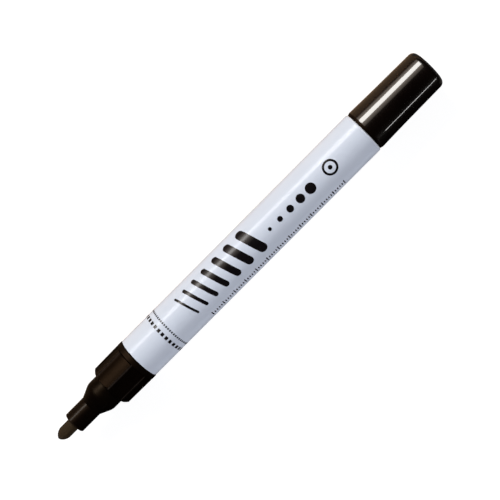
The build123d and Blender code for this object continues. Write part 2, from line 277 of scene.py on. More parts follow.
def vectors(tree, operation, *values):
    """One sum on vectors."""
    return add(tree, "ShaderNodeVectorMath", dict(enumerate(values)), operation=operation).outputs[0]


def scaled(tree, vector, by):
    """A vector made longer or shorter."""
    return add(tree, "ShaderNodeVectorMath", {0: vector, "Scale": by}, operation="SCALE").outputs[0]


def split(tree, vector):
    """The X, Y and Z of a vector."""
    return add(tree, "ShaderNodeSeparateXYZ", {"Vector": vector}).outputs


def vector_of(tree, x, y, z):
    """A vector from its X, Y and Z."""
    return add(tree, "ShaderNodeCombineXYZ", {"X": x, "Y": y, "Z": z}).outputs[0]


def new_tree(name, kind, inputs, outputs):
    """A node group with named inputs and outputs; returns it with both ends."""
    tree = bpy.data.node_groups.new(name, kind)
    for way, sockets in (("INPUT", inputs), ("OUTPUT", outputs)):
        for label, socket_kind in sockets.items():
            tree.interface.new_socket(label, in_out=way, socket_type="NodeSocket" + socket_kind)
    return tree, add(tree, "NodeGroupInput").outputs, add(tree, "NodeGroupOutput").inputs


def close_tree(tree, geometry, finish, result):
    """Ends a geometry tree: instances made real, and the finish set."""
    real = add(tree, "GeometryNodeRealizeInstances", {"Geometry": geometry}).outputs[0]
    dressed = add(tree, "GeometryNodeSetMaterial", {"Geometry": real, "Material": finish})
    join(tree, dressed.outputs[0], result)


def evaluated_mesh(made):
    """What an object's modifiers make of it, as a plain mesh."""
    graph = bpy.context.evaluated_depsgraph_get()
    shaped = made.evaluated_get(graph)
    return bpy.data.meshes.new_from_object(shaped, preserve_all_data_layers=True, depsgraph=graph)


def run_tree(name, source, tree, values):
    """Runs a geometry tree on a source object and keeps the result as a plain mesh at the origin."""
    modifier = source.modifiers.new(tree.name, "NODES")
    modifier.node_group = tree
    for socket in tree.interface.items_tree:
        if socket.in_out == "INPUT" and socket.name in values:
            modifier[socket.identifier] = values[socket.name]
    mesh = evaluated_mesh(source)
    source.modifiers.remove(modifier)
    bpy.data.objects.remove(source)
    mesh.name = name
    mesh.materials.clear()
    mesh.materials.append(values["Finish"])
    mesh.polygons.foreach_set("material_index", [0] * len(mesh.polygons))
    return linked(name, mesh)


print("node helpers ready")

# %% [markdown]
# ## The lathe
#
# Six pieces of the marker are turned or nearly so, and they follow one rule: every point of the outline
# goes round every direction of the section. Blender's Spin or Screw would turn a round piece, but neither
# can pass from round to eight-sided. So one Geometry Nodes tree does both. It lays out a grid with a column
# for each outline point and a row for each direction, and looks up where each grid point belongs. Where the
# outline leans, a point also slides along the axis by as much as the section falls short of its circle, and
# that cuts the front of the flats with a turned bevel.

# %% A tree that turns an outline round a section
weld_distance = 1e-6  # metres


def sampled(tree, geometry, field, index, kind):
    """The value of a field at one point of some other geometry."""
    inputs = {"Geometry": geometry, "Value": field, "Index": index}
    return add(tree, "GeometryNodeSampleIndex", inputs, data_type=kind).outputs["Value"]


def named(tree, name, kind):
    """A stored value of the points."""
    return add(tree, "GeometryNodeInputNamedAttribute", {"Name": name}, data_type=kind).outputs["Attribute"]


def count_points(tree, geometry):
    """How many points a geometry has."""
    return add(tree, "GeometryNodeAttributeDomainSize", {"Geometry": geometry}).outputs["Point Count"]


def moved_and_welded(tree, geometry, target):
    """A geometry with its points at their target places, and those that meet there made one."""
    laid = add(tree, "GeometryNodeSetPosition", {"Geometry": geometry, "Position": target}).outputs[0]
    inputs = {"Geometry": laid, "Distance": weld_distance}
    return add(tree, "GeometryNodeMergeByDistance", inputs).outputs[0]


outline_values = ("facet", "edge", "lean")


def lathe_tree():
    """Outline and section in, turned piece out."""
    ends = {"Outline": "Geometry", "Section": "Object", "Axis height": "Float", "Finish": "Material"}
    tree, given, result = new_tree("lathe", "GeometryNodeTree", ends, {"Piece": "Geometry"})
    outline = given["Outline"]
    section = add(tree, "GeometryNodeObjectInfo", {"Object": given["Section"]}).outputs["Geometry"]
    around = count_points(tree, section)
    sizes = {"Vertices X": count_points(tree, outline), "Vertices Y": around}
    grid = add(tree, "GeometryNodeMeshGrid", sizes).outputs["Mesh"]
    index = add(tree, "GeometryNodeInputIndex").outputs["Index"]
    column = maths(tree, "FLOOR", maths(tree, "DIVIDE", index, around))
    row = maths(tree, "MODULO", index, around)
    position = add(tree, "GeometryNodeInputPosition").outputs["Position"]
    place = sampled(tree, outline, position, column, "FLOAT_VECTOR")
    facet, edge, lean = (
        sampled(tree, outline, named(tree, name, "FLOAT"), column, "FLOAT") for name in outline_values
    )
    round_way = sampled(tree, section, position, row, "FLOAT_VECTOR")
    flat_way = sampled(tree, section, named(tree, "flat", "FLOAT_VECTOR"), row, "FLOAT_VECTOR")
    on_corner = sampled(tree, section, named(tree, "corner", "FLOAT"), row, "FLOAT")
    flattening = scaled(tree, vectors(tree, "SUBTRACT", flat_way, round_way), facet)
    along = split(tree, place)
    across = scaled(tree, vectors(tree, "ADD", round_way, flattening), along["Y"])
    reach = add(tree, "ShaderNodeVectorMath", {0: across}, operation="LENGTH").outputs["Value"]
    short = maths(tree, "SUBTRACT", reach, along["Y"])
    station = maths(tree, "MULTIPLY_ADD", short, lean, along["X"])
    way = split(tree, across)
    height = maths(tree, "ADD", way["Y"], given["Axis height"])
    # edges that wear and take a painted highlight: the outline's own edges and the collar's corners
    worn_and_highlit = maths(tree, "MAXIMUM", edge, maths(tree, "MULTIPLY", facet, on_corner))
    kept = {"Geometry": grid, "Name": "edge", "Value": worn_and_highlit}
    marked = add(tree, "GeometryNodeStoreNamedAttribute", kept, data_type="FLOAT").outputs[0]
    piece = moved_and_welded(tree, marked, vector_of(tree, station, way["X"], height))
    close_tree(tree, piece, given["Finish"], result["Piece"])
    return tree


lathe = lathe_tree()
print("lathe tree:", len(lathe.nodes), "nodes")

# %% [markdown]
# A lathe can leave its faces pointing inwards, and a smooth finish needs shared normals on the arcs and
# split ones on the true edges. So each turned piece is checked for open edges, turned right side out and
# shaded smooth up to a fixed angle. It then stands for the imported piece: it rides on the same body and
# hides that piece.

# %% Turn a piece
smooth_degrees = 38


def tidy_surface(made):
    """Faces outwards, smooth arcs and split edges; prints how many edges are open."""
    work = bmesh.new()
    work.from_mesh(made.data)
    bmesh.ops.recalc_face_normals(work, faces=work.faces)
    open_edges = sum(not edge.is_manifold for edge in work.edges)
    work.to_mesh(made.data)
    work.free()
    made.data.shade_smooth()
    made.data.set_sharp_from_angle(angle=radians(smooth_degrees))
    print(made.name, len(made.data.polygons), "faces,", open_edges, "open edges")


def turned(name, rows, finish, section=round_section):
    """A piece from the rows of an outline, in its finish."""
    source = new_mesh_object(name + "_outline", [(row[0] * MM, row[1] * MM, 0) for row in rows])
    for column, label in enumerate(outline_values, start=2):
        store(source, label, [row[column] for row in rows])
    values = {"Section": section, "Axis height": axis_height, "Finish": finish}
    made = run_tree(name, source, lathe, values)
    tidy_surface(made)
    return made


def stands_for(made, body, node):
    """Lets a piece ride on its body in place of an imported one, which it hides."""
    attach(made, body)
    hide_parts(node)


print("edges are split past", smooth_degrees, "degrees")

# %% [markdown]
# ## Shared surface effects
#
# Three effects return on several finishes: the fine grain that a mould leaves, the hairline marks of
# handling, and the polish that fingers leave on edges, whose lighter colour is partly a painted highlight.
# Each is a shader node group, built once and placed with its own values. Their patterns read Object
# coordinates, so that nothing slides when the marker moves, and the worn and highlit edges are the ones that
# the lathe stored on the mesh.

# %% Grain, marks, and wear with a painted edge highlight
noise_low, noise_high = 0.3, 0.7  # nearly all of the noise lies between these
broad_share = 0.03  # of the grain's scale, for slow changes of tone
fine_detail, ragged, least_wear_highlight = 4.0, 0.6, 0.4
hairlines = {0.35: (60, 900, 900), -0.5: (500, 90, 500)}  # turn in radians: cells a metre in X, Y and Z
hairline_width = 0.03  # of a cell
patches_per_metre, wear_highlight_per_metre = 160.0, 700.0


def object_place(tree):
    """Object coordinates, in metres."""
    return add(tree, "ShaderNodeTexCoord").outputs["Object"]


def stretched_place(tree, scale, turn=(0.0, 0.0, 0.0)):
    """Object coordinates turned and scaled, for a pattern that runs one way."""
    inputs = {"Vector": object_place(tree), "Rotation": turn, "Scale": scale}
    return add(tree, "ShaderNodeMapping", inputs).outputs[0]


def ranged(tree, value, low, high, to_low, to_high):
    """A value carried from one range to another, held at its ends."""
    ends = {"Value": value, "From Min": low, "From Max": high, "To Min": to_low, "To Max": to_high}
    return add(tree, "ShaderNodeMapRange", ends).outputs["Result"]


def spread(tree, value, to_low=0.0, to_high=1.0):
    """Noise carried from its usual range to another."""
    return ranged(tree, value, noise_low, noise_high, to_low, to_high)


def noise(tree, place, scale, detail=3.0, rough=0.5):
    """Soft noise at a scale of so many features a metre."""
    inputs = {"Vector": place, "Scale": scale, "Detail": detail, "Roughness": rough}
    return add(tree, "ShaderNodeTexNoise", inputs).outputs["Fac"]


def grain_group():
    """Fine height from the mould, and broad slow changes of tone."""
    outputs = {"Height": "Float", "Tone": "Float"}
    tree, given, result = new_tree("mould_grain", "ShaderNodeTree", {"Grain per metre": "Float"}, outputs)
    place = object_place(tree)
    join(tree, noise(tree, place, given["Grain per metre"]), result["Height"])
    broad = maths(tree, "MULTIPLY", given["Grain per metre"], broad_share)
    join(tree, noise(tree, place, broad, rough=ragged), result["Tone"])
    return tree


def amount_tree(name, label):
    """A node group with an amount in and one value out."""
    return new_tree(name, "ShaderNodeTree", {"Amount": "Float"}, {label: "Float"})


def marks_group():
    """Hairline marks along and across the marker, broken up by noise."""
    tree, given, result = amount_tree("handling_marks", "Marks")
    lines = []
    for turn, stretch in hairlines.items():
        inputs = {"Vector": stretched_place(tree, stretch, (turn, turn / 2, turn / 3)), "Scale": 1.0}
        cells = add(tree, "ShaderNodeTexVoronoi", inputs, feature="DISTANCE_TO_EDGE").outputs["Distance"]
        lines.append(ranged(tree, cells, 0.0, hairline_width, 1.0, 0.0))
    patches = ranged(tree, noise(tree, object_place(tree), patches_per_metre), 0.5, noise_high, 0.0, 1.0)
    both = maths(tree, "MULTIPLY", maths(tree, "MAXIMUM", *lines), patches)
    join(tree, maths(tree, "MULTIPLY", both, given["Amount"]), result["Marks"])
    return tree


def wear_and_highlight_group():
    """Where the stored edges are polished and painted lighter, unevenly: partly wear, partly a painted
    highlight.
    """
    tree, given, result = amount_tree("edge_wear_and_highlight", "Wear_and_highlight")
    edge = add(tree, "ShaderNodeAttribute", attribute_name="edge").outputs["Fac"]
    uneven = spread(tree, noise(tree, object_place(tree), wear_highlight_per_metre, fine_detail), least_wear_highlight, 1.0)
    worn_and_highlit = maths(tree, "MULTIPLY", edge, uneven)
    join(tree, maths(tree, "MULTIPLY", worn_and_highlit, given["Amount"]), result["Wear_and_highlight"])
    return tree


mould_grain = grain_group()
handling_marks = marks_group()
edge_wear_and_highlight = wear_and_highlight_group()
print("shared effects:", mould_grain.name, handling_marks.name, edge_wear_and_highlight.name)

# %% [markdown]
# ## Finishes
#
# A finish is a Principled shader whose even values sit on its own sockets, and whose uneven ones come from
# the shared effects. The dark plastic is a very dark warm brown rather than a true black, which is why its
# lit side looks brown next to the white barrel. So dark a colour shows little but its reflections, so they
# are tinted too. A polished mould leaves a smooth skin, which is the shader's coat: it draws the sharp
# streak, while the plastic under it keeps a duller one.

# %% Finish helpers
white = (1.0, 1.0, 1.0)
plastic_ior = 1.5
mix_first, mix_second, mix_result = 6, 7, 2  # a Mix node's colours


def new_finish(name, plain):
    """A material with its even values set; returns it with its tree and shader."""
    material = bpy.data.materials.new(name)
    material.use_nodes = True
    tree = material.node_tree
    shader = next(node for node in tree.nodes if node.type == "BSDF_PRINCIPLED")
    for label, value in plain.items():
        shader.inputs[label].default_value = value
    return material, tree, shader


def effect(tree, group, label, value):
    """A shared effect with its one input set; returns its outputs."""
    return add(tree, "ShaderNodeGroup", {label: value}, node_tree=group).outputs


def tinted(tree, mask, first, second):
    """A colour that goes from the first to the second as the mask goes from 0 to 1."""
    node = add(tree, "ShaderNodeMix", {0: mask}, data_type="RGBA")
    for colour, socket in ((first, mix_first), (second, mix_second)):
        join(tree, (*colour, 1.0) if isinstance(colour, tuple) else colour, node.inputs[socket])
    return node.outputs[mix_result]


def dress(tree, shader, colour, rough, height, strength, depth):
    """Links a shader's colour, roughness and bump; the depth of the bump is in millimetres."""
    join(tree, colour, shader.inputs["Base Color"])
    join(tree, rough, shader.inputs["Roughness"])
    inputs = {"Height": height, "Strength": strength, "Distance": depth * MM}
    join(tree, add(tree, "ShaderNodeBump", inputs).outputs["Normal"], shader.inputs["Normal"])


print("finish helpers ready")

# %% Moulded plastics
rough_swing, scuff_rough, polish_share = 0.1, 0.15, 0.25
grain_strength, skin_rough = 0.35, 0.02


def moulded(
    name, colours, worn_and_highlit, rough, grain, wear_and_highlight=0.5, marks=0.5, depth=0.01, shine=0.5, tint=white, skin=0.0
):
    """A moulded plastic: mottled colour, grain, hairline marks, and polished edges painted lighter as partly
    wear and partly a painted highlight.
    """
    plain = {"IOR": plastic_ior, "Specular IOR Level": shine, "Specular Tint": (*tint, 1.0)}
    plain.update({"Coat Weight": skin, "Coat Roughness": skin_rough, "Coat Tint": (*tint, 1.0)})
    material, tree, shader = new_finish(name, plain)
    surface = effect(tree, mould_grain, "Grain per metre", grain)
    polish_and_highlight = effect(tree, edge_wear_and_highlight, "Amount", wear_and_highlight)["Wear_and_highlight"]
    lines = effect(tree, handling_marks, "Amount", marks)["Marks"]
    mottled = tinted(tree, spread(tree, surface["Tone"]), *colours)
    uneven = spread(tree, surface["Tone"], (1 - rough_swing) * rough, (1 + rough_swing) * rough)
    scuffed = maths(tree, "MULTIPLY_ADD", lines, scuff_rough, uneven)
    smoothed = maths(tree, "MULTIPLY_ADD", polish_and_highlight, -polish_share * rough, scuffed)
    colour = tinted(tree, polish_and_highlight, mottled, worn_and_highlit)
    dress(tree, shader, colour, smoothed, surface["Height"], grain_strength, depth)
    return material


warm_black = (0.0014, 0.0007, 0.0004), (0.0021, 0.0011, 0.0006)
gloss_black = moulded(
    "gloss_black", ((0.0022, 0.0011, 0.0008), (0.003, 0.0016, 0.0011)), (0.009, 0.005, 0.0035),
    rough=0.3, grain=2500, wear_and_highlight=0.3, depth=0.0003, shine=0.12, tint=(1.0, 0.98, 0.94), skin=0.8,
)
satin_black = moulded(
    "satin_black", ((0.0016, 0.0008, 0.0005), (0.0025, 0.0013, 0.0008)), (0.022, 0.015, 0.01),
    rough=0.38, grain=7000, wear_and_highlight=0.6, depth=0.001, shine=0.075, tint=(1.0, 0.7, 0.45), skin=0.055,
)
soft_black = moulded(
    "soft_black", warm_black, (0.022, 0.015, 0.01),
    rough=0.36, grain=9000, wear_and_highlight=0.3, depth=0.004, shine=0.055, tint=(1.0, 0.72, 0.45),
)
# the flats' edges are painted far lighter than the plastic: partly wear, partly a painted highlight along the
# ridges between the flats
flats_black = moulded(
    "flats_black", warm_black, (0.028, 0.021, 0.0175),
    rough=0.26, grain=9000, wear_and_highlight=0.9, depth=0.004, shine=0.024, tint=(1.0, 0.58, 0.3),
)
grained_black = moulded(
    "grained_black", warm_black, (0.02, 0.0145, 0.011),
    rough=0.5, grain=9000, wear_and_highlight=0.9, depth=0.012, shine=0.075, tint=(1.0, 0.62, 0.36),
)
natural_plastic = moulded(
    "natural_plastic", ((0.76, 0.75, 0.71), (0.82, 0.81, 0.77)), (0.84, 0.83, 0.8),
    rough=0.45, grain=6000, wear_and_highlight=0.2, marks=0.3,
)
plastics = (gloss_black, satin_black, soft_black, flats_black, grained_black, natural_plastic)
print("plastics:", ", ".join(finish.name for finish in plastics))

# %% [markdown]
# ## Nib
#
# The nib is a rod of bonded fibre, ground to a bullet end and soaked with paint. Its outline is two arcs
# that touch each other and the rod. Modelling single fibres would cost millions of faces for something
# thinner than a hair, so the fibres are streaks in the finish: noise stretched along the axis.

# %% Nib
nib_taper = 3.4
nib_tip_radius = 0.85
nib_rear_ease = 0.4
fibre_stretch = (0.08, 1.0, 1.0)
fibres_per_metre, blots_per_metre = 9000.0, 900.0
fibre_browns = (0.018, 0.0108, 0.0045), (0.056, 0.0355, 0.0155)


def fibre_finish():
    """Paint-soaked fibre: streaks along the rod, dull and slightly fuzzy."""
    plain = {"Sheen Weight": 0.02, "Sheen Roughness": 0.6, "Specular IOR Level": 0.1}
    material, tree, shader = new_finish("nib_fibre", plain)
    streaks = noise(tree, stretched_place(tree, fibre_stretch), fibres_per_metre, fine_detail, ragged)
    blots = noise(tree, object_place(tree), blots_per_metre)
    colour = tinted(tree, maths(tree, "MULTIPLY", streaks, blots), *fibre_browns)
    dress(tree, shader, colour, spread(tree, blots, 0.75, 0.95), streaks, strength=0.6, depth=0.05)
    return material


def nib_rows():
    """A small tip arc, a long flank arc, then the rod."""
    reach = nib_taper - nib_tip_radius
    flank_radius = (reach**2 + nib_radius**2 - nib_tip_radius**2) / (2 * (nib_radius - nib_tip_radius))
    meeting = atan2(flank_radius - nib_radius, -reach)
    tip = arc(Vector((nib_tip + nib_tip_radius, 0)), nib_tip_radius, pi, meeting)
    flank_centre = Vector((nib_tip + nib_taper, nib_radius - flank_radius))
    flank = arc(flank_centre, flank_radius, meeting, pi / 2, 2 * arc_steps)
    rod = eased([corner(*flank[-1]), corner(nib_rear, nib_radius, nib_rear_ease), corner(nib_rear, 0)])
    return [(*point, 0.0, 0.0, 0.0) for point in tip[:-1] + flank[:-1]] + rod


nib = turned("fibre_nib", nib_rows(), fibre_finish())
stands_for(nib, "nib", "nib")

# %% [markdown]
# ## Front section
#
# One dark moulding makes the nose, the cone, the step that the cap grips, the eight-sided collar and the
# spigot in the barrel. The collar keeps the marker from rolling away. Two separate meshes would leave a
# seam where the flats begin, so the outline itself says at which corners the section is eight-sided. A small
# V-shaped groove parts the flats from the round rim. The mould isn't polished alike all over: the nose is
# satin, the cone and its step are softer, the flats are smoother again and the rim is grained. So the faces
# take their finish by where they lie along the axis.

# %% Front section
nose_radius, nose_length = 3.9, 8.1
cone_length, cone_blend = 4.3, 4.5
seat_length, collar_length = 4.5, 13.7
collar_rim, collar_taper, collar_bevel = 2.0, 0.13, 0.9
rim_groove, rim_groove_depth = 0.44, 0.25
guide_radius, guide_length = 2.35, 10.0
chamber_radius, pocket_radius = 3.2, 5.32
barrel_wall, seal_groove_depth = 0.5, 1.33
press_gap, seat_gap = 0.03, 0.02
crisp_ease, root_ease, nose_ease, soft_ease, broad_ease = 0.1, 0.15, 0.25, 0.3, 0.5
cone_front = nose_front + nose_length
seat_front = cone_front + cone_length
collar_front = seat_front + seat_length
collar_rear = collar_front + collar_length
rim_front = collar_rear - collar_rim
guide_rear = nose_front + guide_length
flats_front = flats_radius - collar_taper
spigot_radius = barrel_radius - barrel_wall - press_gap
seal_floor = spigot_radius - seal_groove_depth
front_outline = [  # outside from the nose to the spigot, then back through the bores
    corner(nose_front, guide_radius, crisp_ease),
    corner(nose_front, nose_radius, nose_ease),
    corner(cone_front, nose_radius, soft_ease),
    corner(seat_front, seat_radius, cone_blend),
    corner(collar_front, seat_radius, root_ease),
    corner(collar_front, flats_front - collar_bevel),
    corner(collar_front + collar_bevel, flats_front, facet=1.0, lean=1.0),
    corner(rim_front - rim_groove, flats_radius, facet=1.0),
    corner(rim_front - rim_groove / 2, flats_radius - rim_groove_depth, facet=1.0),
    corner(rim_front, flats_radius, facet=1.0),
    corner(rim_front, rim_radius),
    corner(collar_rear, rim_radius, broad_ease),
    corner(collar_rear, spigot_radius),
    corner(seal_front - press_gap, spigot_radius),
    corner(seal_front - press_gap, seal_floor),
    corner(seal_rear + press_gap, seal_floor),
    corner(seal_rear + press_gap, spigot_radius),
    corner(spigot_rear, spigot_radius, soft_ease),
    corner(spigot_rear, pocket_radius),
    corner(case_front - seat_gap, pocket_radius),
    corner(case_front - seat_gap, chamber_radius),
    corner(guide_rear, chamber_radius),
    corner(guide_rear, guide_radius),
]


def add_finish(made, finish, is_there):
    """Gives one more finish to the faces whose middle, as (x, radius) in millimetres, is there."""
    made.data.materials.append(finish)
    for face in made.data.polygons:
        centre = face.center / MM
        radius = hypot(centre.y, centre.z - axis_height / MM)
        if is_there(centre.x, radius):
            face.material_index = len(made.data.materials) - 1


front = turned("front_moulding", eased(front_outline, closed=True), satin_black, collar_section)
add_finish(front, soft_black, lambda x, radius: x > cone_front)
add_finish(front, flats_black, lambda x, radius: x > collar_front)
add_finish(front, grained_black, lambda x, radius: x > rim_front)
stands_for(front, "marker", "front_section")

# %% [markdown]
# ## Barrel
#
# The barrel is an aluminium can, drawn from one disc, so its rear shoulder is round and its wall is thin.
# The outside is sprayed white, and the inside and the neck stay bare metal. One material with a mask could
# tell them apart, but a sprayed can has a clean border, so the faces take one of two finishes. The lacquer
# is painted whiter on the rounded shoulder, a painted highlight that draws a fine light line beside the cap.

# %% Barrel finishes
barrel_rear = tail_front - seat_gap
# painted highlight: between these distances before the rear end, the lacquer turns to a whiter colour
highlight_from, highlight_to = 0.55, 0.25  # before the rear end
draw_squeeze = (1.0, 0.02, 0.02)
draw_lines_per_metre = 12000.0
lacquer_whites, shoulder_highlight_white = ((0.6, 0.64, 0.715), (0.62, 0.66, 0.735)), (0.86, 0.88, 0.9)
metal_greys = (0.66, 0.67, 0.69), (0.8, 0.81, 0.82)
lacquer_peel, lacquer_marks, lacquer_scuff = 1400, 0.4, 0.12


def lacquer_finish():
    """Cool white lacquer: nearly even, with a trace of orange peel, and a painted highlight of whiter lacquer
    on the rear shoulder.
    """
    material, tree, shader = new_finish("white_lacquer", {"IOR": plastic_ior, "Specular IOR Level": 0.115})
    surface = effect(tree, mould_grain, "Grain per metre", lacquer_peel)
    lines = effect(tree, handling_marks, "Amount", lacquer_marks)["Marks"]
    along = split(tree, object_place(tree))["X"]
    shoulder = ranged(tree, along, (barrel_rear - highlight_from) * MM, (barrel_rear - highlight_to) * MM, 0.0, 1.0)
    sprayed = tinted(tree, spread(tree, surface["Tone"]), *lacquer_whites)
    # painted highlight: the lacquer's colour turns whiter over the rear shoulder
    colour = tinted(tree, shoulder, sprayed, shoulder_highlight_white)
    uneven = spread(tree, surface["Tone"], 0.12, 0.16)
    rough = maths(tree, "MULTIPLY_ADD", lines, lacquer_scuff, uneven)
    dress(tree, shader, colour, rough, surface["Height"], strength=0.25, depth=0.004)
    return material


def drawn_metal_finish():
    """Bare aluminium with fine lines round the axis from the draw."""
    material, tree, shader = new_finish("drawn_aluminium", {"Metallic": 1.0})
    lines = noise(tree, stretched_place(tree, draw_squeeze), draw_lines_per_metre)
    colour = tinted(tree, lines, *metal_greys)
    dress(tree, shader, colour, spread(tree, lines, 0.28, 0.42), lines, strength=0.3, depth=0.004)
    return material


white_lacquer = lacquer_finish()
drawn_aluminium = drawn_metal_finish()
print("barrel finishes:", white_lacquer.name, drawn_aluminium.name)

# %% Barrel
end_wall, neck_wall, plug_wall = 0.9, 0.6, 1.5
shoulder_ease, trimmed_ease = 0.8, 0.12
neck_radius = seat_radius - plug_wall - press_gap
barrel_bore = barrel_radius - barrel_wall
neck_bore = neck_radius - neck_wall
barrel_outline = [  # inside from the closed neck to the mouth, then the outside back to the neck
    corner(neck_end - neck_wall, 0),
    corner(neck_end - neck_wall, neck_bore, soft_ease),
    corner(barrel_rear - end_wall, neck_bore),
    corner(barrel_rear - end_wall, barrel_bore, broad_ease),
    corner(barrel_front, barrel_bore),
    corner(barrel_front, barrel_radius, trimmed_ease),
    corner(barrel_rear, barrel_radius, shoulder_ease),
    corner(barrel_rear, neck_radius, root_ease),
    corner(neck_end, neck_radius, broad_ease),
    corner(neck_end, 0),
]
sprayed_radius = barrel_radius - barrel_wall / 2
barrel = turned("barrel_can", eased(barrel_outline), white_lacquer)
add_finish(barrel, drawn_aluminium, lambda x, radius: radius < sprayed_radius)
stands_for(barrel, "marker", "barrel")

# %% [markdown]
# ## Tail plug
#
# The stub on the can's neck is a small dark moulding with a shallow groove that the cap snaps into. It
# shows only when the cap is pulled off, and then it shows plainly.

# %% Tail plug
plug_end_wall, end_ease = 1.6, 0.8
groove_place, groove_depth, groove_width = 4.6, 0.25, 1.2
plug_bore = neck_radius + press_gap
plug_bore_end = tail_end - plug_end_wall
groove_floor = seat_radius - groove_depth
groove_front = barrel_rear + groove_place - groove_width / 2
groove_rear = groove_front + groove_width
plug_outline = [  # bore round the neck, then the outside with its groove
    corner(plug_bore_end, 0),
    corner(plug_bore_end, plug_bore),
    corner(tail_front, plug_bore),
    corner(tail_front, seat_radius, crisp_ease),
    corner(groove_front, seat_radius, crisp_ease),
    corner(groove_front + groove_depth, groove_floor, crisp_ease),
    corner(groove_rear - groove_depth, groove_floor, crisp_ease),
    corner(groove_rear, seat_radius, crisp_ease),
    corner(tail_end, seat_radius, end_ease),
    corner(tail_end, 0),
]
plug = turned("tail_stub", eased(plug_outline), satin_black)
stands_for(plug, "marker", "tail_plug")

# %% [markdown]
# ## Cap
#
# The cap is a gloss shell with a slightly flared mouth and a flat end with a soft corner. Pressed inside it
# is a stepped sleeve of natural plastic whose bead shuts on the nose. The flare is under two degrees, so it
# is blended by a very large arc: with a plain corner there the long highlight would break. The lip at the
# mouth is a small chamfer that the mould leaves grained, so it stays dark beside the white barrel.

# %% Cap shell
cap_wall, cap_end_wall = 1.11, 1.5
cap_flare_length, cap_flare_drop, cap_draft_drop = 10.0, 0.24, 0.24
cap_flare_blend, cap_corner_ease, cap_mouth_ease = 500.0, 1.9, 0.2
cap_mouth_drop, cap_lip, cap_lip_drop, cap_lip_step = 0.06, 0.85, 0.3, 0.02
tail_room, inner_step_length, cap_bore_step = 2.0, 1.5, 0.3
inner_bore_end = tail_end + tail_room
nose_pocket = inner_bore_end + inner_step_length
mouth_radius = barrel_radius - cap_mouth_drop
flare_radius = mouth_radius - cap_flare_drop
cap_bore = mouth_radius - cap_wall
cap_bore_end = cap_end - cap_end_wall
cap_outline = [  # bore from the closed end to the mouth, then the outside back to the end
    corner(cap_bore_end, 0),
    corner(cap_bore_end, cap_bore - cap_bore_step, end_ease),
    corner(nose_pocket, cap_bore - cap_bore_step),
    corner(nose_pocket, cap_bore),
    corner(cap_mouth, cap_bore, cap_mouth_ease),
    corner(cap_mouth, mouth_radius - cap_lip_drop),
    corner(cap_mouth + cap_lip, mouth_radius - cap_lip_step),
    corner(cap_mouth + cap_flare_length, flare_radius, cap_flare_blend),
    corner(cap_end, flare_radius - cap_draft_drop, cap_corner_ease),
    corner(cap_end, 0),
]
cap = turned("cap_gloss_shell", eased(cap_outline), gloss_black)
add_finish(cap, grained_black, lambda x, radius: x < cap_mouth + cap_lip)
stands_for(cap, "cap", "cap_shell")

# %% Inner cap
inner_wall, inner_end_wall, inner_lead, inner_end_ease = 0.7, 1.0, 0.3, 0.6
nose_room, bead_height, bead_length = 0.25, 0.2, 1.2
inner_bore = inner_radius - inner_wall
nose_pocket_radius = nose_radius + nose_room
nose_pocket_outside = nose_pocket_radius + inner_wall
bead_start = nose_pocket + bead_length
inner_cap_outline = [  # stepped bore with its bead, then the stepped outside
    corner(inner_end - inner_end_wall, 0),
    corner(inner_end - inner_end_wall, nose_pocket_radius, soft_ease),
    corner(bead_start + bead_length, nose_pocket_radius),
    corner(bead_start + bead_length / 2, nose_pocket_radius - bead_height, soft_ease),
    corner(bead_start, nose_pocket_radius),
    corner(nose_pocket, nose_pocket_radius),
    corner(inner_bore_end, inner_bore),
    corner(inner_mouth + inner_lead, inner_bore),
    corner(inner_mouth, inner_bore + inner_lead),
    corner(inner_mouth, inner_radius, crisp_ease),
    corner(inner_bore_end, inner_radius, soft_ease),
    corner(nose_pocket, nose_pocket_outside, soft_ease),
    corner(inner_end, nose_pocket_outside, inner_end_ease),
    corner(inner_end, 0),
]
inner_cap = turned("cap_inner_sleeve", eased(inner_cap_outline), natural_plastic)
stands_for(inner_cap, "cap", "inner_cap")

# %% [markdown]
# ## Valve spring
#
# Behind the nib a coil spring shuts the valve. A spring is a path with a wire section, so a second tree
# draws a spiral and sweeps a circle along it. In the marker the coil shortens against its fixed end, by as
# much as the valve lifts, when the nib is pressed; here it is built at one length. Steel and ink are both
# nearly even, so they share one kind of finish.

# %% Valve spring
spring_wire, spring_turns = 0.5, 6
points_per_turn, wire_sides = 48, 12
fine_strength = 0.2


def even_finish(name, plain, grain, colours, roughs, depth, tones=(noise_low, noise_high)):
    """A nearly even finish: its colour follows the broad tone, and its roughness the fine grain."""
    material, tree, shader = new_finish(name, plain)
    surface = effect(tree, mould_grain, "Grain per metre", grain)
    colour = tinted(tree, ranged(tree, surface["Tone"], *tones, 0.0, 1.0), *colours)
    rough = spread(tree, surface["Height"], *roughs)
    dress(tree, shader, colour, rough, surface["Height"], fine_strength, depth)
    return material


def spring_tree():
    """Turns, radius, length and wire in, coil out."""
    ends = {"Nothing": "Geometry", "Turns": "Float", "Coil radius": "Float", "Length": "Float"}
    ends.update({"Wire radius": "Float", "Start": "Vector", "Finish": "Material"})
    tree, given, result = new_tree("wound_spring", "GeometryNodeTree", ends, {"Spring": "Geometry"})
    sizes = {"Resolution": points_per_turn, "Rotations": given["Turns"], "Height": given["Length"]}
    sizes.update({"Start Radius": given["Coil radius"], "End Radius": given["Coil radius"]})
    spiral = add(tree, "GeometryNodeCurveSpiral", sizes).outputs[0]
    laying = {"Geometry": spiral, "Translation": given["Start"], "Rotation": (0.0, pi / 2, 0.0)}
    laid = add(tree, "GeometryNodeTransform", laying).outputs[0]
    wire_size = {"Resolution": wire_sides, "Radius": given["Wire radius"]}
    wire = add(tree, "GeometryNodeCurvePrimitiveCircle", wire_size).outputs[0]
    swept = {"Curve": laid, "Profile Curve": wire, "Fill Caps": True}
    coil = add(tree, "GeometryNodeCurveToMesh", swept).outputs[0]
    close_tree(tree, coil, given["Finish"], result["Spring"])
    return tree


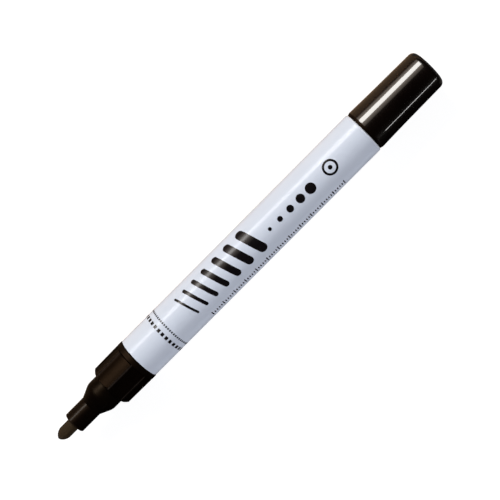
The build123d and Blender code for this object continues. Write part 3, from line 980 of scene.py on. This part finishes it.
steel_greys = (0.5, 0.5, 0.52), (0.62, 0.62, 0.64)
bright_steel = even_finish("bright_steel", {"Metallic": 1.0}, 7000, steel_greys, (0.16, 0.3), 0.004)
spring_length = spring_rear - spring_front
spring_values = {
    "Turns": float(spring_turns),
    "Coil radius": (spring_radius - spring_wire / 2) * MM,
    "Length": (spring_length - spring_wire) * MM,
    "Wire radius": spring_wire / 2 * MM,
    "Start": ((spring_front + spring_wire / 2) * MM, 0.0, axis_height),
    "Finish": bright_steel,
}
spring = run_tree("valve_coil", new_mesh_object("coil_source", []), spring_tree(), spring_values)
tidy_surface(spring)
stands_for(spring, "marker", "valve_spring")
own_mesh(spring)

# %% [markdown]
# ## Print on the barrel
#
# Markers of this kind carry bold dark printing on the white can. Here it is a plain design of the lesson's
# own: slanted strokes and dots that grow, a ring, a scale of ticks and two rows of dashes. Printed
# ink is a thin layer with a real edge, so it is modelled flat, wrapped on the can by a tree and given a
# thickness. A mask in the lacquer could draw it too, but would blur in the exported texture.

# %% Ink and the wrapping tree
ink_rise = 0.02  # above the lacquer
ink_thickness = 0.035
ink_radius = barrel_radius + ink_rise
ink_blacks = (0.0036, 0.0028, 0.0032), (0.0066, 0.0053, 0.006)
ink_plain = {"IOR": 1.45, "Specular IOR Level": 0.22}
wrap_sizes = {"Barrel front": "Float", "Radius": "Float", "Axis height": "Float"}


def wrap_tree():
    """Flat print in, its X along the can and its Y round it, wrapped print out."""
    ends = {"Flat print": "Geometry", **wrap_sizes, "Finish": "Material"}
    tree, given, result = new_tree("wrap_on_can", "GeometryNodeTree", ends, {"Print": "Geometry"})
    flat = split(tree, add(tree, "GeometryNodeInputPosition").outputs["Position"])
    turn = maths(tree, "DIVIDE", flat["Y"], given["Radius"])
    side = maths(tree, "MULTIPLY", maths(tree, "SINE", turn), maths(tree, "MULTIPLY", given["Radius"], -1.0))
    up = maths(tree, "MULTIPLY_ADD", maths(tree, "COSINE", turn), given["Radius"], given["Axis height"])
    along = maths(tree, "ADD", flat["X"], given["Barrel front"])
    wrapped = moved_and_welded(tree, given["Flat print"], vector_of(tree, along, side, up))
    close_tree(tree, wrapped, given["Finish"], result["Print"])
    return tree


print_ink = even_finish("print_ink", ink_plain, 5000, ink_blacks, (0.19, 0.26), 0.003, tones=(0.35, 0.75))
wrap = wrap_tree()
wrap_values = {
    "Barrel front": barrel_front * MM,
    "Radius": ink_radius * MM,
    "Axis height": axis_height,
    "Finish": print_ink,
}
print("wrapping tree:", len(wrap.nodes), "nodes")

# %% Pen strokes, dots and a ring
strips = 7  # across a stroke, so that it can bend round the can
longest_step = 0.4
end_steps = 7


def in_small_steps(points):
    """The same path with points close enough to follow the can."""
    path = [points[0]]
    for before, after in zip(points, points[1:]):
        count = ceil((after - before).length / longest_step)
        path += [before.lerp(after, (k + 1) / count) for k in range(count)]
    return path


def stroke(points, width, closed=False):
    """Grid rows of a flat stroke along points, with round ends; one point alone makes a dot."""
    points = in_small_steps([Vector(point) for point in points])
    count = len(points)
    rows = []
    for index, point in enumerate(points):
        before = points[index - 1] if index or closed else point
        after = points[(index + 1) % count] if closed or index + 1 < count else point
        along = (after - before).normalized() if count > 1 else Vector((1, 0))
        rows.append((point, along, 1.0))
    if closed:
        rows.append(rows[0])
    else:
        bends = np.linspace(0, pi / 2, end_steps)
        first, last = rows[0], rows[-1]
        head = [(first[0] - first[1] * width / 2 * sin(b), first[1], cos(b)) for b in bends[:0:-1]]
        tail = [(last[0] + last[1] * width / 2 * sin(b), last[1], cos(b)) for b in bends[1:]]
        rows = head + rows + tail
    shares = np.linspace(-0.5, 0.5, strips + 1)
    crossed = [(point, along.orthogonal() * width * narrow) for point, along, narrow in rows]
    return [[point + across * share for share in shares] for point, across in crossed]


def flat_print(name, strokes):
    """One flat mesh from the grid rows of several strokes, in metres."""
    places, faces = [], []
    for rows in strokes:
        for index, row in enumerate(rows):
            here = range(len(places), len(places) + strips)
            places += [(place.x * MM, place.y * MM, 0.0) for place in row]
            if index:
                faces += [(k, k + 1, k - strips, k - strips - 1) for k in here]
    return new_mesh_object(name, places, faces)


def printed(name, flat, tree, values):
    """Wraps a flat print on the can and gives the ink its thickness."""
    made = run_tree(name, flat, tree, values)
    thick = made.modifiers.new("ink", "SOLIDIFY")
    thick.thickness = ink_thickness * MM
    thick.offset = 1.0
    mesh = evaluated_mesh(made)
    made.modifiers.remove(thick)
    made.data = mesh
    tidy_surface(made)
    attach(made, "marker")


bar_count, bar_start, bar_gap = 7, 24.0, 3.1
bar_thinnest, bar_growth = 0.8, 0.4
bar_half_height, bar_slant, bar_middle = 4.3, 1.3, -1.1
dot_count, dot_smallest, dot_growth = 5, 1.3, 0.6
dot_start, dot_step, dot_middle = 60.5, 4.6, 0.6
ring_centre, ring_radius, ring_width, ring_steps = Vector((88.0, 0.3)), 2.3, 0.75, 64
ring_dot_width = 1.5


def growing_bars():
    """Slanted strokes, each one bolder than the last, with even gaps."""
    bars = []
    place = bar_start
    for number in range(bar_count):
        width = bar_thinnest + bar_growth * number
        foot = (place - bar_slant, bar_middle - bar_half_height)
        head = (place + bar_slant, bar_middle + bar_half_height)
        bars.append(stroke([foot, head], width))
        place += width + bar_gap
    return bars


def growing_dots():
    """Dots in a row, each one larger than the last."""
    places = [(dot_start + dot_step * k, dot_middle) for k in range(dot_count)]
    return [stroke([place], dot_smallest + dot_growth * k) for k, place in enumerate(places)]


ring = stroke(arc(ring_centre, ring_radius, 0, 2 * pi, ring_steps)[:-1], ring_width, closed=True)
ring_dot = stroke([ring_centre], ring_dot_width)
bold_flat = flat_print("bold_flat", [*growing_bars(), *growing_dots(), ring, ring_dot])
printed("print_bold_marks", bold_flat, wrap, wrap_values)

# %% [markdown]
# The scale and the dashes repeat one small mark in a row, some of them longer. That is a job for instances:
# a line of points, one mark on each, and the wrapping tree as a step inside the row's own tree.

# %% Rows of small marks


def row_tree():
    """One mark repeated along a step, every so many of them stretched, wrapped on the can."""
    ends = {"Nothing": "Geometry", "Count": "Int", "Start": "Vector", "Step": "Vector", "Mark": "Vector"}
    ends.update({"Long every": "Int", "Long stretch": "Float", **wrap_sizes, "Finish": "Material"})
    tree, given, result = new_tree("row_of_marks", "GeometryNodeTree", ends, {"Print": "Geometry"})
    line_ends = {"Count": given["Count"], "Start Location": given["Start"], "Offset": given["Step"]}
    line = add(tree, "GeometryNodeMeshLine", line_ends).outputs[0]
    size = split(tree, given["Mark"])
    grid_size = {"Size X": size["X"], "Size Y": size["Y"], "Vertices X": 2, "Vertices Y": strips}
    mark = add(tree, "GeometryNodeMeshGrid", grid_size).outputs["Mesh"]
    index = add(tree, "GeometryNodeInputIndex").outputs[0]
    left_over = maths(tree, "MODULO", index, given["Long every"])
    is_long = maths(tree, "COMPARE", left_over, 0.0, 0.5)
    longer = maths(tree, "MULTIPLY_ADD", is_long, given["Long stretch"], 1.0)
    inputs = {"Points": line, "Instance": mark, "Scale": vector_of(tree, 1.0, longer, 1.0)}
    marks = add(tree, "GeometryNodeInstanceOnPoints", inputs).outputs[0]
    real = add(tree, "GeometryNodeRealizeInstances", {"Geometry": marks}).outputs[0]
    passed_on = {label: given[label] for label in (*wrap_sizes, "Finish")}
    wrapped = add(tree, "GeometryNodeGroup", {"Flat print": real, **passed_on}, node_tree=wrap)
    close_tree(tree, wrapped.outputs[0], given["Finish"], result["Print"])
    return tree


dash_count, dash_share = 28, 0.6
dash_step = 2 * pi * ink_radius / dash_count
dash_length = dash_share * dash_step
row_labels = ("Count", "Start", "Step", "Mark", "Long every", "Long stretch")
rows_of_marks = {
    "print_scale": (61, (28.0, 8.4), (1.0, 0.0), (0.42, 1.2), 5, 0.9),
    "print_dashes": (dash_count, (12.0, 0.0), (0.0, dash_step), (1.2, dash_length), 1, 0.0),
    "print_fine_dashes": (2 * dash_count, (14.6, 0.0), (0.0, dash_step / 2), (0.65, dash_length / 2), 1, 0.0),
}
mark_row = row_tree()
for name, sizes in rows_of_marks.items():
    values = dict(wrap_values)
    for label, value in zip(row_labels, sizes):
        values[label] = (value[0] * MM, value[1] * MM, 0.0) if isinstance(value, tuple) else value
    printed(name, new_mesh_object(name + "_flat", []), mark_row, values)

# %% [markdown]
# ## Inner pieces
#
# The valve's pieces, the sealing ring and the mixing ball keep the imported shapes, which are right already.
# They get finishes of their own: natural plastic, dull rubber and steel.

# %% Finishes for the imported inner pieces
seal_rubber = moulded(
    "seal_rubber", ((0.018, 0.018, 0.019), (0.028, 0.028, 0.029)), (0.04, 0.04, 0.04),
    rough=0.72, grain=5000, wear_and_highlight=0.2, marks=0.2, depth=0.02,
)
inner_finishes = {
    "barrel_seal": seal_rubber,
    "valve_seal": seal_rubber,
    "valve_case": natural_plastic,
    "valve_stem": natural_plastic,
    "spring_retainer": natural_plastic,
    "mixing_ball": bright_steel,
}
for node, finish in inner_finishes.items():
    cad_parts[node].material_slots[0].material = finish
print("inner pieces dressed:", ", ".join(inner_finishes))

# %% [markdown]
# ## Table and light
#
# The marker lies on a white table. The table glows up to white for the camera, for reflections and through
# glass, and its paint still takes the soft shadow. Shade and gloss are then set one at a time, as a
# photographer does with lamps and cards. The cards are hidden from the camera and show in reflections, where
# they keep the white table out of the dark pieces. On the right lie black ones beside the front section and
# the cap, and a grey one beside the barrel. A dark one lies behind the cap's end. The brown one on the left
# also throws a little warm light back.

# %% Table
table_side = 6.0
table_glow, table_paint = 0.89, 0.27
table_tones = (0.8, 0.8, 0.8), (0.82, 0.82, 0.82)
table_clouds_per_metre = 40.0


def table_finish():
    """Pale paint; what the camera and reflections see glows up to white, so only the shadow shows."""
    material, tree, shader = new_finish("white_table", {"Roughness": 0.9, "Specular IOR Level": 0.0})
    tone = spread(tree, noise(tree, object_place(tree), table_clouds_per_metre, 2.0))
    join(tree, tinted(tree, tone, *table_tones), shader.inputs["Base Color"])
    seen = add(tree, "ShaderNodeLightPath").outputs
    direct = maths(tree, "MAXIMUM", seen["Is Camera Ray"], seen["Is Glossy Ray"])
    direct = maths(tree, "MAXIMUM", direct, seen["Is Transmission Ray"])
    glow = add(tree, "ShaderNodeEmission", {"Color": (*white, 1.0), "Strength": table_glow})
    paint = add(tree, "ShaderNodeBsdfDiffuse", {"Color": (table_paint, table_paint, table_paint, 1.0)})
    both = add(tree, "ShaderNodeAddShader", {0: glow.outputs[0], 1: paint.outputs[0]})
    mixed = add(tree, "ShaderNodeMixShader", {0: direct, 1: shader.outputs[0], 2: both.outputs[0]})
    output = next(node for node in tree.nodes if node.type == "OUTPUT_MATERIAL")
    join(tree, mixed.outputs[0], output.inputs["Surface"])
    return material


table_ends = (-table_side / 2, table_side / 2)
table_corners = [(x, y, 0.0) for y in table_ends for x in table_ends]
table = new_mesh_object("table", table_corners, [(0, 1, 3, 2)])
table.data.materials.append(table_finish())
print("table", table_side, "m wide")

# %% Cards for reflections
card_gap, card_reach, card_end, card_rise = 0.003, 0.6, 0.45, 0.16
card_height, strip_height, strip_side = 0.0002, 0.0004, 0.03
lip_margin = 0.006
black, dark_grey = (0.004, 0.004, 0.004), (0.12, 0.11, 0.1)
grey, brown = (0.32, 0.32, 0.33), (0.42, 0.27, 0.16)


def beside(side, start, end):
    """Corners of a card beside the marker, flat on the table and then upright."""
    folds = ((card_gap, card_height), (card_reach, card_height), (card_reach, card_rise))
    return [(x, side * y, z) for y, z in folds for x in (start, end)]


def behind(start):
    """Corners of a narrow card behind the cap, flat on the table and then upright."""
    folds = ((start, strip_height), (card_reach, strip_height), (card_reach, card_rise))
    return [(x, y, z) for x, z in folds for y in (-strip_side, strip_side)]


def card(name, corners, colour, in_bounces=False):
    """A card of two sheets through three pairs of corners, not seen by the camera."""
    made = new_mesh_object(name, corners, [(0, 1, 3, 2), (2, 3, 5, 4)])
    plain = {"Base Color": (*colour, 1.0), "Roughness": 1.0, "Specular IOR Level": 0.0}
    finish, _, _ = new_finish(name, plain)
    made.data.materials.append(finish)
    made.visible_camera = False
    made.visible_diffuse = in_bounces
    made.visible_shadow = False
    made.visible_transmission = False


front_end = barrel_front * MM
rear_start = cap_mouth * MM - lip_margin  # a little before the cap, so that its lip stays dark too
card("black_front_card", beside(-1, -card_end, front_end), black)
card("grey_barrel_card", beside(-1, front_end, rear_start), grey)
card("black_rear_card", beside(-1, rear_start, card_end), black)
card("dark_end_card", behind(cap_end * MM + card_gap), dark_grey)
card("brown_card", beside(1, -card_end, card_end), brown, in_bounces=True)

# %% [markdown]
# Two soft lamps light the marker, a key on the left and a cooler fill on the right, and neither shows in its
# reflections. Four more show in reflections alone: two draw the long bright streak on the cap, the barrel and
# the front section, a warm faint one lets the streak fade at its sides, and a thin low one on the right
# draws the fine second line on the cap. The world adds even light and is plain white to the camera. It is
# kept out of reflections, because no metal or glass shows on the marker, and its black pieces would turn
# grey.

# %% Lights
world_strength = 0.15
cool, ivory, warm = (0.96, 0.98, 1.08), (1.0, 0.995, 0.975), (1.0, 0.84, 0.72)


def placed(place, right, up, back):
    """The matrix of an object at a place, from the directions of its three axes."""
    return Matrix.Translation(place) @ Matrix((right, up, back)).transposed().to_4x4()


def softbox(
    name, lean, x, width, length, radiance, in_reflections=True, distance=0.9, colour=white, beam=180.0
):
    """A long light parallel to the marker, leaning so many degrees from straight up, left being positive."""
    lamp = bpy.data.lights.new(name, "AREA")
    lamp.shape = "RECTANGLE"
    lamp.size = length
    lamp.size_y = width
    lamp.energy = radiance * pi * length * width
    lamp.color = colour
    lamp.spread = radians(beam)
    away = Vector((0, sin(radians(lean)), cos(radians(lean))))
    along = Vector((1, 0, 0))
    made = linked(name, lamp)
    made.matrix_world = placed(Vector((x, 0, axis_height)) + away * distance, along, away.cross(along), away)
    made.visible_glossy = in_reflections
    made.visible_diffuse = not in_reflections


def studio_world(strength):
    """Even white light of some strength, plain white to the camera and not seen by reflections."""
    world = bpy.data.worlds.new("studio")
    world.use_nodes = True
    tree = world.node_tree
    to_camera = add(tree, "ShaderNodeLightPath").outputs["Is Camera Ray"]
    sky = tree.nodes["Background"]
    join(tree, (*white, 1.0), sky.inputs["Color"])
    join(tree, ranged(tree, to_camera, 0.0, 1.0, strength, 1.0), sky.inputs["Strength"])
    world.cycles_visibility.glossy = False
    scene.world = world


softbox("key", lean=55.0, x=-0.01, width=0.4, length=0.52, radiance=13.4, in_reflections=False)
softbox("fill", lean=-48.0, x=-0.03, width=0.3, length=0.6, radiance=5.9, in_reflections=False, colour=cool)
softbox("streak", lean=48.0, x=0.18, width=0.36, length=0.26, radiance=20.0, colour=ivory)
softbox("streak_front", lean=48.0, x=-0.13, width=0.24, length=0.36, radiance=16.0)
softbox(
    "streak_fade", lean=49.0, x=0.0, width=1.2, length=0.6, radiance=0.7,
    distance=0.95, colour=warm, beam=80.0,
)
softbox("low_line", lean=-74.0, x=0.1931, width=0.02, length=0.1588, radiance=19.0, distance=0.5)
studio_world(world_strength)

# %% [markdown]
# ## Camera
#
# The view is from straight above, a little beyond the middle of the marker, with the marker running
# from the lower left to the upper right. Turning the camera about its own line of sight does that, and the
# marker itself stays along X.

# %% Camera
picture_side = 500
focal_pixels = 1353
sensor_width = 36.0
view_distance = 0.4398
foot = 0.0315  # where the camera stands along the marker
aim_along, aim_aside = 0.0031, -0.00082
roll = radians(45.14)

eye = Vector((foot, 0, axis_height + view_distance))
aim = Vector((aim_along, aim_aside, axis_height))
back = (eye - aim).normalized()
marker_way = Vector((1, 0, 0))
marker_way = (marker_way - back * marker_way.dot(back)).normalized()
side_way = back.cross(marker_way)
right = marker_way * cos(roll) - side_way * sin(roll)
up = marker_way * sin(roll) + side_way * cos(roll)
lens = bpy.data.cameras.new("camera")
lens.sensor_fit = "HORIZONTAL"
lens.sensor_width = sensor_width
lens.lens = focal_pixels * sensor_width / picture_side
camera = linked("camera", lens)
camera.matrix_world = placed(eye, right, up, back)
scene.camera = camera
scene.view_settings.view_transform = "Standard"
print("lens", round(lens.lens, 1), "mm")

# %% [markdown]
# ## Finish
#
# The helper sections go. The looks have to stay inside the imported model's size.

# %% Remove the helper sections
for helper in (round_section, collar_section):
    bpy.data.objects.remove(helper)
